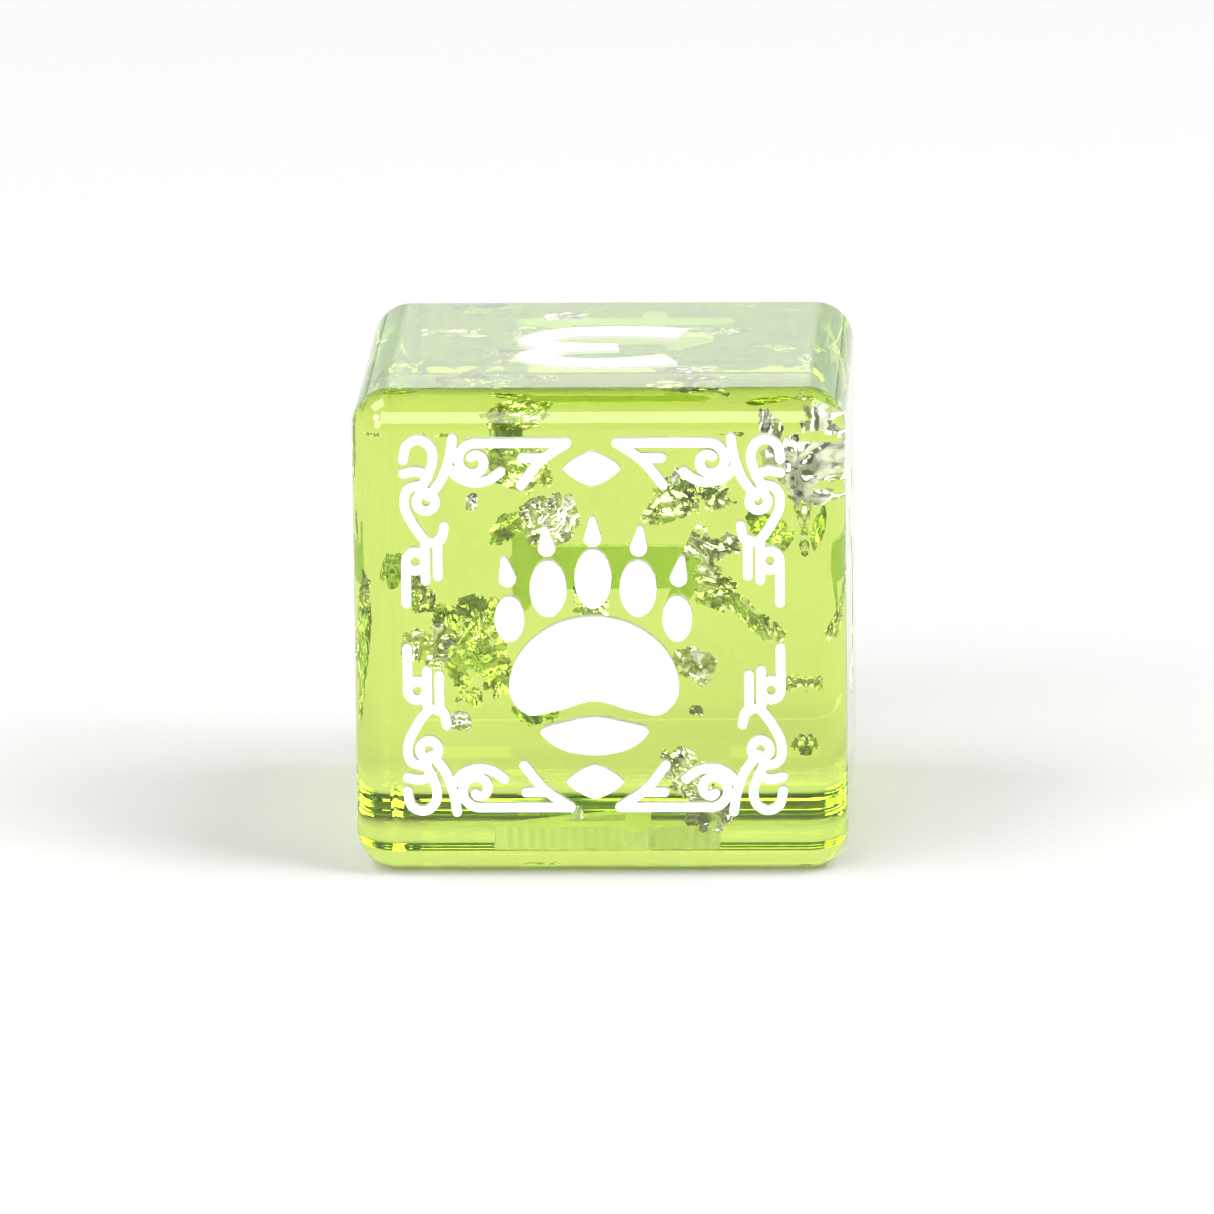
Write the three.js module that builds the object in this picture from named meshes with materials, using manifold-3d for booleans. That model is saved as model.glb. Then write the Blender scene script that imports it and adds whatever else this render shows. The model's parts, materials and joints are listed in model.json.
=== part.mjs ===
// A six-sided die of clear lime resin with rounded edges. Silver foil flakes are cast inside it, and
// every face is engraved and filled with white paint: scrollwork with a paw print on the front face,
// which counts as the six, and a numeral on each other face. Millimetres, +Z up. The die stands on
// its four face, with the origin at the centre of that face, and its front looks along -Y.
import * as THREE from "three";
import { RoundedBoxGeometry } from "three/addons/geometries/RoundedBoxGeometry.js";
import { mergeVertices } from "three/addons/utils/BufferGeometryUtils.js";
import Module from "manifold-3d";

const wasm = await Module();
wasm.setup();

// ---------- driving dimensions ----------
const side = 16;
const edgeRadius = 1.3;
const edgeSteps = 4;

const lineWidth = 0.3; // the scrollwork's engraved line
const lineDepth = 0.4; // how deep the scrollwork is engraved
const numeralDepth = 0.6; // how deep the numerals and the paw print are engraved
const paintGap = 0.02; // clearance between a paint fill and its recess
const paintBelow = 0.06; // how far the paint's surface lies below the face
const cutAbove = 1; // how far a recess's cutter stands out of the face
const markOffset = [-0.18, 0.34]; // the front face's engraving sits this far off the face's centre

const foilThickness = 0.05;
const foilGap = 0.03; // clearance between a flake and its pocket in the resin
const foilRim = 8; // corners in a flake's torn outline
const foilWaves = 4; // corners in the ring of creases inside the outline
const rimReach = 1.05; // how far the outline reaches, as a share of the flake's half size
const rimRaggedness = 0.25;
const creaseReach = 0.5;
const creaseRaggedness = 0.15;
const crumpling = 0.12; // height of the creases, as a share of the flake's smaller size
const ventSize = 0.1; // side of the hairline channel that opens a flake's pocket

// ---------- materials ----------
const resin = new THREE.MeshStandardMaterial({
  color: 0xc4e85c,
  roughness: 0.05,
  metalness: 0,
  transparent: true,
  opacity: 0.45,
});
const whitePaint = new THREE.MeshStandardMaterial({ color: 0xfafaf7, roughness: 0.5, metalness: 0 });
const silverFoil = new THREE.MeshStandardMaterial({ color: 0xd2d6cd, roughness: 0.25, metalness: 1 });

// ---------- solids ----------
// A closed geometry as a manifold-3d solid.
function solid(geometry) {
  const bare = geometry.clone();
  bare.deleteAttribute("normal");
  bare.deleteAttribute("uv");
  const merged = mergeVertices(bare, 1e-5);
  return new wasm.Manifold(
    new wasm.Mesh({
      numProp: 3,
      vertProperties: merged.attributes.position.array,
      triVerts: new Uint32Array(merged.index.array),
    }),
  );
}

// A manifold-3d solid as a geometry for a mesh.
function geometryOf(made) {
  const { vertProperties, triVerts } = made.getMesh();
  const geometry = new THREE.BufferGeometry();
  geometry.setAttribute("position", new THREE.BufferAttribute(vertProperties, 3));
  geometry.setIndex(new THREE.BufferAttribute(triVerts, 1));
  geometry.computeVertexNormals();
  return geometry;
}

function namedMesh(name, geometry, material) {
  const mesh = new THREE.Mesh(geometry, material.clone());
  mesh.name = name;
  return mesh;
}

// ---------- faces ----------
// right and up are the directions in which a mark on the face is read from outside.
const faces = {
  front: { right: [1, 0, 0], up: [0, 0, 1] },
  back: { right: [0, 0, 1], up: [1, 0, 0] },
  left: { right: [0, -1, 0], up: [0, 0, 1] },
  right: { right: [0, 1, 0], up: [0, 0, 1] },
  top: { right: [-1, 0, 0], up: [0, -1, 0] },
  bottom: { right: [0, -1, 0], up: [-1, 0, 0] },
};

// The place of a face: its own x runs right, y up and z out of the die.
function faceMatrix({ right, up }) {
  const across = new THREE.Vector3(...right);
  const upward = new THREE.Vector3(...up);
  const out = new THREE.Vector3().crossVectors(across, upward);
  const centre = new THREE.Vector3(0, 0, side / 2).addScaledVector(out, side / 2);
  return new THREE.Matrix4().makeBasis(across, upward, out).setPosition(centre);
}

// ---------- outlines ----------
// Every outline is a closed list of points, counter-clockwise.
const point = (x, y) => new THREE.Vector2(x, y);
const points = (list) => list.map(([x, y]) => point(x, y));

// An outline moved outwards by a distance, inwards where it is negative.
function grown(outline, distance) {
  const count = outline.length;
  return outline.map((here, i) => {
    const before = here.clone().sub(outline[(i + count - 1) % count]).normalize();
    const after = outline[(i + 1) % count].clone().sub(here).normalize();
    const outward = point(before.y + after.y, -before.x - after.x);
    return here.clone().addScaledVector(outward, distance / (1 + before.dot(after)));
  });
}

// Facets round the end of a stroke.
const roundEnd = 3;
const bluntEnd = 1;

// The outline of a line drawn along a curve. width gives its width at 0 to 1 along it.
function stroke(curve, steps, width = () => lineWidth, capSteps = roundEnd) {
  const nearSide = [];
  const farSide = [];
  for (let i = 0; i <= steps; i++) {
    const at = curve.getPointAt(i / steps);
    const along = curve.getTangentAt(i / steps);
    const half = width(i / steps) / 2;
    nearSide.push(point(at.x + along.y * half, at.y - along.x * half));
    farSide.unshift(point(at.x - along.y * half, at.y + along.x * half));
  }
  const cap = (from, to) => {
    const centre = from.clone().add(to).multiplyScalar(0.5);
    const arm = from.clone().sub(centre);
    return Array.from({ length: capSteps - 1 }, (_, i) =>
      arm.clone().rotateAround(point(0, 0), ((i + 1) * Math.PI) / capSteps).add(centre),
    );
  };
  return [
    ...nearSide,
    ...cap(nearSide.at(-1), farSide[0]),
    ...farSide,
    ...cap(farSide.at(-1), nearSide[0]),
  ];
}

const bend = (list) => new THREE.SplineCurve(points(list));
const line = (from, to) => new THREE.LineCurve(point(...from), point(...to));

// A pen's width along a stroke: thin at both ends and thickest at the middle.
const swell = (thin, thick) => (t) => thin + (thick - thin) * Math.sin(Math.PI * t);
const taper = (start, end) => (t) => start + (end - start) * t;

function oval(x, y, width, height, count) {
  return Array.from({ length: count }, (_, i) => {
    const turn = (2 * Math.PI * i) / count;
    return point(x + (width / 2) * Math.cos(turn), y + (height / 2) * Math.sin(turn));
  });
}

// A diamond with round corners and slightly bulging sides.
function lozenge(x, y, width, height) {
  const count = 20;
  const fullness = 1.3;
  const ease = (value) => Math.sign(value) * Math.abs(value) ** (2 / fullness);
  return Array.from({ length: count }, (_, i) => {
    const turn = (2 * Math.PI * i) / count;
    return point(x + (width / 2) * ease(Math.cos(turn)), y + (height / 2) * ease(Math.sin(turn)));
  });
}

// A closed outline through a right half's points, listed from the bottom up, and their mirror images.
function mirroredBlob(half, count) {
  const mirrored = half.slice(1, -1).reverse().map(([x, y]) => [-x, y]);
  const around = points([...half, ...mirrored]).map(({ x, y }) => new THREE.Vector3(x, y, 0));
  const curve = new THREE.CatmullRomCurve3(around, true, "centripetal");
  return curve.getSpacedPoints(count).slice(0, count).map(({ x, y }) => point(x, y));
}

// ---------- marks ----------
// A mark is a list of overlapping outlines, and each may carry holes. Its prism runs from low to high.
function prism({ outline, hole }, low, high, growth) {
  const shape = new THREE.Shape(grown(outline, growth));
  if (hole) shape.holes.push(new THREE.Path(grown(hole, -growth)));
  const geometry = new THREE.ExtrudeGeometry(shape, { depth: high - low, bevelEnabled: false });
  return solid(geometry.translate(0, 0, low));
}

function joined(strokes, low, high, growth) {
  return strokes.map((one) => prism(one, low, high, growth)).reduce((all, one) => all.add(one));
}

const paintOf = ({ strokes, depth }) => joined(strokes, -depth, -paintBelow, 0);
const recessOf = ({ strokes, depth }) => joined(strokes, -depth - paintGap, cutAbove, paintGap);

const plain = (outline) => ({ outline });
const ring = (x, y, radius) => ({
  outline: oval(x, y, 2 * radius + lineWidth, 2 * radius + lineWidth, 10),
  hole: oval(x, y, 2 * radius - lineWidth, 2 * radius - lineWidth, 6),
});

// A spiral that starts above its centre and winds inwards, clockwise.
function volute(x, y, outerRadius, innerRadius, turns) {
  const steps = 10;
  const spots = Array.from({ length: steps + 1 }, (_, i) => {
    const turn = Math.PI / 2 - (2 * Math.PI * turns * i) / steps;
    const radius = outerRadius + ((innerRadius - outerRadius) * i) / steps;
    return [x + radius * Math.cos(turn), y + radius * Math.sin(turn)];
  });
  return stroke(bend(spots), steps);
}

// The scrollwork of the upper right corner, about the centre of the engraving.
const frameReach = 6.05; // from the centre to the middle of the outermost straight lines
const cornerScroll = [
  stroke(line([0.8, frameReach], [3.8, frameReach]), 1),
  stroke(bend([[0.8, frameReach], [1.65, 5.45], [2.3, 4.65]]), 2),
  stroke(line([1.55, 5.55], [2.25, 5.55]), 1),
  volute(3.8, 5.45, 0.6, 0.17, 1.1),
  stroke(bend([[2.95, 5.1], [3.35, 4.83], [3.85, 4.75], [4.35, 4.95], [4.68, 5.35]]), 4),
  stroke(bend([[4.5, 6.2], [4.62, 5.5], [4.9, 4.8], [5.3, 4.3]]), 3),
  stroke(bend([[6.1, 5.5], [5.98, 5.98], [5.58, 6.16], [5.22, 5.92], [5.16, 5.4], [5.5, 4.6]]), 7),
  stroke(bend([[5.3, 4.95], [5.65, 5.12], [6.1, 5.05]]), 2),
  stroke(bend([[5.45, 4.68], [5.98, 4.5], [6.05, 3.9], [5.7, 3.2], [5.35, 2.75]]), 6),
  stroke(bend([[5.35, 2.75], [4.92, 2.85], [4.8, 3.3]]), 2),
  stroke(line([frameReach, 2.15], [frameReach, 0.75]), 1),
  stroke(line([5.42, 2.7], [5.42, 1.5]), 1),
  stroke(line([5.02, 2.85], [5.02, 1.65]), 1),
].map(plain);
cornerScroll.push(ring(5.38, 4.12, 0.3), ring(5.74, 2.15, 0.31));

// Strokes mirrored left to right, top to bottom, or both, then moved by the engraving's offset.
function placed(strokes, flipX, flipY) {
  const move = (outline) => {
    const moved = outline.map(({ x, y }) => point(x * flipX + markOffset[0], y * flipY + markOffset[1]));
    return flipX * flipY < 0 ? moved.reverse() : moved;
  };
  return strokes.map(({ outline, hole }) => ({ outline: move(outline), hole: hole && move(hole) }));
}

// The paw print: five toes fanned about the pads, a claw above each, a broad pad and a heel pad.
const pawCentre = [0, -1.9];
const toeFan = 3.45; // from the fan's centre to the middle of a toe
const toeAngles = [142, 115, 90, 65, 38].map(THREE.MathUtils.degToRad);
const toePlaces = toeAngles.map((angle) => [
  pawCentre[0] + toeFan * Math.cos(angle),
  pawCentre[1] + toeFan * Math.sin(angle),
]);
const toeSizes = [[0.95, 1.5], [1.18, 1.85], [1.18, 1.95], [1.18, 1.85], [0.95, 1.5]];
const toes = toePlaces.map(([x, y], i) => oval(x, y, ...toeSizes[i], 16));
const clawRise = 1.35; // from a toe's middle to its claw's root
const clawLength = 0.62;
const claws = toePlaces.map(([x, y]) =>
  stroke(line([x * 1.02, y + clawRise], [x * 1.06, y + clawRise + clawLength]), 1, taper(0.56, 0.2)),
);
const mainPad = mirroredBlob(
  [[0, -2.5], [1.15, -2.8], [2.15, -2.95], [2.72, -2.3], [2.5, -1.1], [1.5, -0.1], [0, 0.3]],
  26,
);
const heelPad = mirroredBlob([[0, -4.3], [1.2, -4.05], [1.75, -3.5], [0.9, -3.2], [0, -3.05]], 18);

// The numerals, about the centres of their faces. anchor is a place inside the numeral.
const twoBow = [[-2, 1.8], [-1.2, 3.1], [0.4, 3.3], [1.7, 2.2], [1, 0.2], [-1.9, -2.9]];
const threeUpperBow = [[-2.15, 2.35], [-0.6, 2.85], [1.2, 2.75], [2.25, 1.9], [1.5, 0.7], [-0.35, 0.4]];
const threeLowerBow = [[-0.3, 0.35], [1.6, 0.1], [2.3, -0.8], [1.3, -1.95], [-0.6, -2.2], [-2.4, -1.8]];
const fiveBow = [[-1.6, 0.8], [0.6, 0.95], [2, -0.6], [1.5, -2.5], [-0.2, -3.3], [-2, -2.6]];
const bowSteps = 12;
const numeralMarks = {
  numeral_one: {
    face: "back",
    anchor: [0, 0],
    strokes: [
      stroke(line([0, -2.7], [0, 2.6]), 1, () => 1.4),
      stroke(line([-1.15, -2.95], [1.15, -2.95]), 1, () => 0.6),
      stroke(line([0, 2.75], [-1.5, 2]), 1, taper(1, 0.5)),
    ],
  },
  numeral_two: {
    face: "left",
    anchor: [0, -3],
    strokes: [
      stroke(bend(twoBow), bowSteps, swell(0.6, 1.2)),
      stroke(line([-1.9, -3], [2.1, -3]), 1, () => 0.85),
    ],
  },
  numeral_three: {
    face: "top",
    anchor: [0.6, 0.35],
    strokes: [
      stroke(bend(threeUpperBow), bowSteps, taper(1.6, 1), bluntEnd),
      stroke(bend(threeLowerBow), bowSteps, taper(1, 1.6), bluntEnd),
    ],
  },
  numeral_four: {
    face: "bottom",
    anchor: [0.9, 0],
    strokes: [
      stroke(line([0.8, 3.2], [-2.1, -1]), 1, () => 0.75),
      stroke(line([-2.1, -1], [2.2, -1]), 1, () => 0.75),
      stroke(line([0.9, 3.1], [0.9, -3.1]), 1, () => 1.2),
    ],
  },
  numeral_five: {
    face: "right",
    anchor: [-1.5, 2],
    strokes: [
      stroke(line([-1.4, 3.1], [1.8, 3.1]), 1, () => 0.8),
      stroke(line([-1.4, 3.1], [-1.6, 0.8]), 1, () => 0.7),
      stroke(bend(fiveBow), bowSteps, swell(0.6, 1.25)),
    ],
  },
};

const marks = {};
for (const [upright, flipY] of [["upper", 1], ["lower", -1]]) {
  for (const [hand, flipX] of [["left", -1], ["right", 1]])
    marks[`scroll_${upright}_${hand}`] = {
      face: "front",
      depth: lineDepth,
      strokes: placed(cornerScroll, flipX, flipY),
    };
  const diamond = lozenge(0, 5.2, 1.86, 1.14);
  marks[`lozenge_${upright}`] = {
    face: "front",
    depth: lineDepth,
    strokes: placed([plain(diamond)], 1, flipY),
  };
}
const pawPieces = { paw_main_pad: mainPad, paw_heel_pad: heelPad };
toes.forEach((outline, i) => (pawPieces[`paw_toe_${i + 1}`] = outline));
claws.forEach((outline, i) => (pawPieces[`paw_claw_${i + 1}`] = outline));
for (const [name, outline] of Object.entries(pawPieces))
  marks[name] = { face: "front", depth: numeralDepth, strokes: placed([plain(outline)], 1, 1) };
for (const [name, { face, strokes }] of Object.entries(numeralMarks))
  marks[name] = { face, depth: numeralDepth, strokes: strokes.map(plain) };

// ---------- foil flakes ----------
// Each flake lies about a place measured from the die's centre. size is its width and height, and turn
// its rotation about X, Y and Z in degrees. Its place in the list gives it a torn outline of its own.
const flakes = [
  { name: "flake_upper_right_large", at: [6.5, -6.1, 5.6], size: [2.2, 3.2], turn: [84, 8, 20] },
  { name: "flake_upper_right_strip", at: [5.6, -6.9, 6.3], size: [0.9, 2.1], turn: [84, 0, -15] },
  { name: "flake_right_of_toes", at: [3.6, -4.8, 2.4], size: [1.9, 2], turn: [86, 5, 12] },
  { name: "flake_below_right_toe", at: [3.6, -1.5, 0.6], size: [1.6, 1.3], turn: [80, 20, -10] },
  { name: "flake_left_of_claws", at: [-1.7, -5.6, 3.5], size: [2.1, 2], turn: [82, -25, -12] },
  { name: "flake_above_claws", at: [-2.8, 1.2, 4.3], size: [2.9, 2], turn: [80, 25, 0] },
  { name: "flake_claw_leaf", at: [-3.3, 2.5, 2.1], size: [1.7, 0.9], turn: [80, -35, 0] },
  { name: "flake_right_of_claws", at: [2.6, -2.4, 3.8], size: [3.5, 1.6], turn: [80, -12, 10] },
  { name: "flake_behind_toes", at: [-0.5, -2.8, 0.4], size: [1.8, 1.4], turn: [80, 10, 5] },
  { name: "flake_behind_main_pad", at: [0, -4, -1.6], size: [3.2, 2.4], turn: [85, 8, 0] },
  { name: "flake_left_middle", at: [-5.7, -4.4, -0.9], size: [2, 1.7], turn: [78, 10, 8] },
  { name: "flake_left_second", at: [-5.9, -1.8, 0.5], size: [1, 1.5], turn: [84, 0, 20] },
  { name: "flake_left_deep", at: [-4.2, 2, -2], size: [2.5, 3.7], turn: [80, -12, 0] },
  { name: "flake_left_wall", at: [-6.9, 2.6, 0.6], size: [2, 1.2], turn: [60, 5, 70] },
  { name: "flake_right_strip", at: [4.9, -0.8, -0.5], size: [3, 0.9], turn: [80, 40, 0] },
  { name: "flake_right_wall", at: [6.6, 2.6, 2], size: [2.4, 2.2], turn: [80, 10, 70] },
  { name: "flake_right_bits", at: [5.3, 5, 1.7], size: [1.7, 1.1], turn: [80, 30, 0] },
  { name: "flake_right_low", at: [6.6, 0.6, -2.9], size: [1.7, 0.8], turn: [80, 0, 30] },
  { name: "flake_right_lowest", at: [6.6, 1, -5], size: [1.4, 0.8], turn: [80, 10, 20] },
  { name: "flake_heel_right", at: [3, -5.8, -1.3], size: [1.4, 1.4], turn: [82, -30, 0] },
  { name: "flake_heel_speck", at: [3.1, -6, -2.8], size: [0.5, 0.4], turn: [80, 0, 0] },
  { name: "flake_lower_right", at: [3.5, -6.8, -6], size: [1.6, 1.6], turn: [66, 15, 10] },
  { name: "flake_lower_right_deep", at: [2.7, -5, -5.1], size: [2.5, 1.6], turn: [78, 30, 0] },
  { name: "flake_lower_left", at: [-4.6, -6.8, -3], size: [0.9, 0.7], turn: [80, 20, 0] },
  { name: "flake_low_middle", at: [-0.8, -7, -6.1], size: [0.4, 0.6], turn: [80, 0, 20] },
  { name: "flake_upper_left_speck", at: [-4.1, -6.9, 4.3], size: [0.4, 0.6], turn: [80, 0, 0] },
  { name: "flake_upper_right_speck", at: [2.5, -6.9, 5.1], size: [0.4, 0.6], turn: [80, 20, 0] },
  { name: "flake_top_left", at: [-5.4, 4.2, 5.4], size: [3.1, 1], turn: [60, -6, -10] },
  { name: "flake_top_left_blob", at: [-2.6, 3.8, 5.9], size: [2, 1.3], turn: [74, 15, 5] },
  { name: "flake_top_right", at: [3.6, 4.2, 5.5], size: [2.6, 1.1], turn: [60, 15, 10] },
  { name: "flake_top_middle", at: [2.6, -2.8, 6.6], size: [2, 1], turn: [12, 8, 0] },
  { name: "flake_top_back", at: [-1.6, 6, 6.3], size: [2, 1], turn: [20, 0, 15] },
  { name: "flake_back_low", at: [-2.6, 5.6, -4.6], size: [1.8, 1.2], turn: [70, 10, -15] },
];

// Numbers from 0 to 1 that repeat for the same seed.
function seeded(seed) {
  let state = seed * 7919;
  return () => {
    state = (state * 16807) % 2147483647;
    return state / 2147483647;
  };
}

// A crumpled sheet: a torn rim, a ring of creases inside it and one point in the middle, thickened by
// half on each side. rimGrowth moves only the rim outwards, so a pocket follows its flake's creases.
function sheet(flake, halfThickness, rimGrowth) {
  const { size } = flake;
  const random = seeded(flakes.indexOf(flake) + 1);
  const crumple = crumpling * Math.min(...size);
  const unevenTurn = 0.3;
  const ringOf = (count, scale, raggedness) =>
    Array.from({ length: count }, (_, i) => {
      const turn = (2 * Math.PI * (i + unevenTurn * random())) / count;
      const reach = scale * (1 - raggedness * random());
      const height = crumple * (2 * random() - 1);
      return [(reach * size[0] * Math.cos(turn)) / 2, (reach * size[1] * Math.sin(turn)) / 2, height];
    });
  const rim = ringOf(foilRim, rimReach, rimRaggedness);
  const creases = ringOf(foilWaves, creaseReach, creaseRaggedness);
  for (const spot of rim) {
    const length = Math.hypot(spot[0], spot[1]);
    spot[0] *= 1 + rimGrowth / length;
    spot[1] *= 1 + rimGrowth / length;
  }
  const middle = [[0, 0, 0]];
  const level = [...rim, ...creases, ...middle];
  const creaseStart = foilRim;
  const centre = foilRim + foilWaves;
  const triangles = [];
  for (let i = 0; i < foilWaves; i++) {
    const crease = creaseStart + i;
    const nextCrease = creaseStart + ((i + 1) % foilWaves);
    const outer = [2 * i, 2 * i + 1, (2 * i + 2) % foilRim];
    triangles.push([crease, outer[0], outer[1]], [crease, outer[1], nextCrease]);
    triangles.push([outer[1], outer[2], nextCrease], [centre, crease, nextCrease]);
  }
  const count = level.length;
  const positions = [
    ...level.flatMap(([x, y, z]) => [x, y, z + halfThickness]),
    ...level.flatMap(([x, y, z]) => [x, y, z - halfThickness]),
  ];
  const index = [
    ...triangles.flat(),
    ...triangles.flatMap(([a, b, c]) => [a + count, c + count, b + count]),
  ];
  for (let i = 0; i < foilRim; i++) {
    const next = (i + 1) % foilRim;
    index.push(i, i + count, next + count, i, next + count, next);
  }
  const geometry = new THREE.BufferGeometry();
  geometry.setAttribute("position", new THREE.Float32BufferAttribute(positions, 3));
  geometry.setIndex(index);
  return geometry;
}

function flakeMatrix({ at, turn }) {
  const [x, y, z] = turn.map(THREE.MathUtils.degToRad);
  return new THREE.Matrix4()
    .makeRotationFromEuler(new THREE.Euler(x, y, z, "ZYX"))
    .setPosition(at[0], at[1], at[2] + side / 2);
}

// The points inside the numerals' recesses to which the flakes' pockets are vented.
const ventOutlets = Object.values(numeralMarks).map(({ face, anchor: [x, y] }) =>
  new THREE.Vector3(x, y, -numeralDepth / 2).applyMatrix4(faceMatrix(faces[face])),
);

// A flake's pocket: the flake's own shape with clearance, and a hairline channel to the nearest outlet.
function pocketOf(flake) {
  const place = flakeMatrix(flake);
  const centre = new THREE.Vector3().setFromMatrixPosition(place);
  const outlet = ventOutlets.reduce((best, one) =>
    one.distanceTo(centre) < best.distanceTo(centre) ? one : best,
  );
  const length = outlet.distanceTo(centre);
  const channel = new THREE.BoxGeometry(ventSize, ventSize, length);
  const way = new THREE.Object3D();
  way.position.copy(centre).lerp(outlet, 0.5);
  way.lookAt(outlet);
  way.updateMatrix();
  const hollow = sheet(flake, foilThickness / 2 + foilGap, foilGap).applyMatrix4(place);
  return solid(hollow).add(solid(channel.applyMatrix4(way.matrix)));
}

// ---------- assembly ----------
const die = new THREE.Group();

const blank = new RoundedBoxGeometry(side, side, side, edgeSteps, edgeRadius).translate(0, 0, side / 2);
let casting = solid(blank);
for (const mark of Object.values(marks)) {
  const recess = geometryOf(recessOf(mark)).applyMatrix4(faceMatrix(faces[mark.face]));
  casting = casting.subtract(solid(recess));
}
for (const flake of flakes) casting = casting.subtract(pocketOf(flake));
die.add(namedMesh("resin_body", geometryOf(casting), resin));

for (const [faceName, face] of Object.entries(faces)) {
  const paints = new THREE.Group();
  paints.applyMatrix4(faceMatrix(face));
  for (const [name, mark] of Object.entries(marks))
    if (mark.face === faceName) paints.add(namedMesh(name, geometryOf(paintOf(mark)), whitePaint));
  die.add(paints);
}

for (const flake of flakes) {
  const foil = namedMesh(flake.name, sheet(flake, foilThickness / 2, 0), silverFoil);
  foil.applyMatrix4(flakeMatrix(flake));
  die.add(foil);
}

export default die;
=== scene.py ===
"""The looks of a clear lime resin die with silver foil inside and white painted engravings.

The engraving's outlines are worked out in millimetres on each face, as in the CAD part, and every
finished piece is in metres in the part's own frame. Each piece stands for one CAD node.
"""

import json
import math

import bpy
import numpy as np
from mathutils import Matrix, Vector, noise
from mathutils.geometry import delaunay_2d_cdt


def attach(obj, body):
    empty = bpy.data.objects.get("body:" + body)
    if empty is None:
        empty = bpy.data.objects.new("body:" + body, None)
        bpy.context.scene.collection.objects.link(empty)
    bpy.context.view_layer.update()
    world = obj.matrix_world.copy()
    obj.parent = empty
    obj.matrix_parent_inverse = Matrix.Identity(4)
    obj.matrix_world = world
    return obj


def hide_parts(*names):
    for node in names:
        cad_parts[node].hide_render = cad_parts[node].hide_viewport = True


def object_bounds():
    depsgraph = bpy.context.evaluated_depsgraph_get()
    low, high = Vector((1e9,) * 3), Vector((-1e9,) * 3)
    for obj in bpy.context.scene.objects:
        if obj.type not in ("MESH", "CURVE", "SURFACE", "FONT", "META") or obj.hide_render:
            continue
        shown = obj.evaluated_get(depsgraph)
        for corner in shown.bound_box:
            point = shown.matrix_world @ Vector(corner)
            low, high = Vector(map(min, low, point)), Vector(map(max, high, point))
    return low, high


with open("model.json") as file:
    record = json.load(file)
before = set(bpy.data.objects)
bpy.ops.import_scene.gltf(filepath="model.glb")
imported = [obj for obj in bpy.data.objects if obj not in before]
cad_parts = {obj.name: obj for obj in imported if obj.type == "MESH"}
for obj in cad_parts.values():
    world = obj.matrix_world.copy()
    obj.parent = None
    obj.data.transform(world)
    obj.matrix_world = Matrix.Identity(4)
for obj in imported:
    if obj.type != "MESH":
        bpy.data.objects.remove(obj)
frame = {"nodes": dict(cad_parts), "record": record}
cad_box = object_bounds()

MM = 0.001
BODY = "root"

# ---------- sizes, in millimetres ----------
SIDE = (cad_box[1].x - cad_box[0].x) / MM
HALF = SIDE / 2
EDGE_RADIUS = 1.3
EDGE_STEPS = 20  # facets across half a rounded edge
FLAT_STEPS = 24  # facets along a rounded edge's straight part
FLAT = HALF - EDGE_RADIUS  # half the width of a face's flat square

LINE_WIDTH = 0.3
LINE_DEPTH = 0.4
NUMERAL_DEPTH = 0.6
MARK_OFFSET = np.array([-0.18, 0.34])
OUTLINE_STEP = 0.07  # length of a facet along an outline
WETTING = 0.008  # how far a paint fill reaches into the resin, so that no air shows between them

# ---------- faces ----------
# right and up are the directions in which a mark on the face is read from outside.
FACES = {
    "front": ((1, 0, 0), (0, 0, 1)),
    "back": ((0, 0, 1), (1, 0, 0)),
    "left": ((0, -1, 0), (0, 0, 1)),
    "right": ((0, 1, 0), (0, 0, 1)),
    "top": ((-1, 0, 0), (0, -1, 0)),
    "bottom": ((0, -1, 0), (-1, 0, 0)),
}


def on_face(face, x, y, z):
    """The place, about the die's centre, of points on a face: z is the height above its surface."""
    right, up = (np.array(direction, float) for direction in FACES[face])
    out = np.cross(right, up)
    x, y, z = (np.asarray(value, float)[..., None] for value in (x, y, z))
    return x * right + y * up + (z + HALF) * out


# ---------- curves and outlines ----------
def spline(points, closed=False, samples=40):
    """A dense Catmull-Rom curve: uniform where it is open, centripetal where it is closed."""
    p = np.array(points, float)
    count = len(p)
    spans = count if closed else count - 1
    curve = []
    for i in range(spans):
        if closed:
            p0, p1, p2, p3 = (p[(i + k) % count] for k in (-1, 0, 1, 2))
        else:
            p0, p1, p2, p3 = p[max(i - 1, 0)], p[i], p[i + 1], p[min(i + 2, count - 1)]
        t = np.arange(samples)[:, None] / samples
        if closed:
            d0, d1, d2 = (np.linalg.norm(b - a) ** 0.5 for a, b in ((p0, p1), (p1, p2), (p2, p3)))
            m1 = ((p1 - p0) / d0 - (p2 - p0) / (d0 + d1) + (p2 - p1) / d1) * d1
            m2 = ((p2 - p1) / d1 - (p3 - p1) / (d1 + d2) + (p3 - p2) / d2) * d1
        else:
            m1, m2 = (p2 - p0) / 2, (p3 - p1) / 2
        curve.append(
            (2 * t**3 - 3 * t**2 + 1) * p1
            + (t**3 - 2 * t**2 + t) * m1
            + (3 * t**2 - 2 * t**3) * p2
            + (t**3 - t**2) * m2
        )
    if not closed:
        curve.append(p[-1:])
    return np.vstack(curve)


def respaced(curve, closed=False):
    """The curve in equal steps of about OUTLINE_STEP."""
    if closed:
        curve = np.vstack([curve, curve[:1]])
    lengths = np.r_[0, np.cumsum(np.linalg.norm(np.diff(curve, axis=0), axis=1))]
    count = max(2, round(lengths[-1] / OUTLINE_STEP)) + 1
    at = np.linspace(0, lengths[-1], count)
    spaced = np.column_stack([np.interp(at, lengths, curve[:, k]) for k in (0, 1)])
    return spaced[:-1] if closed else spaced


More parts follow.
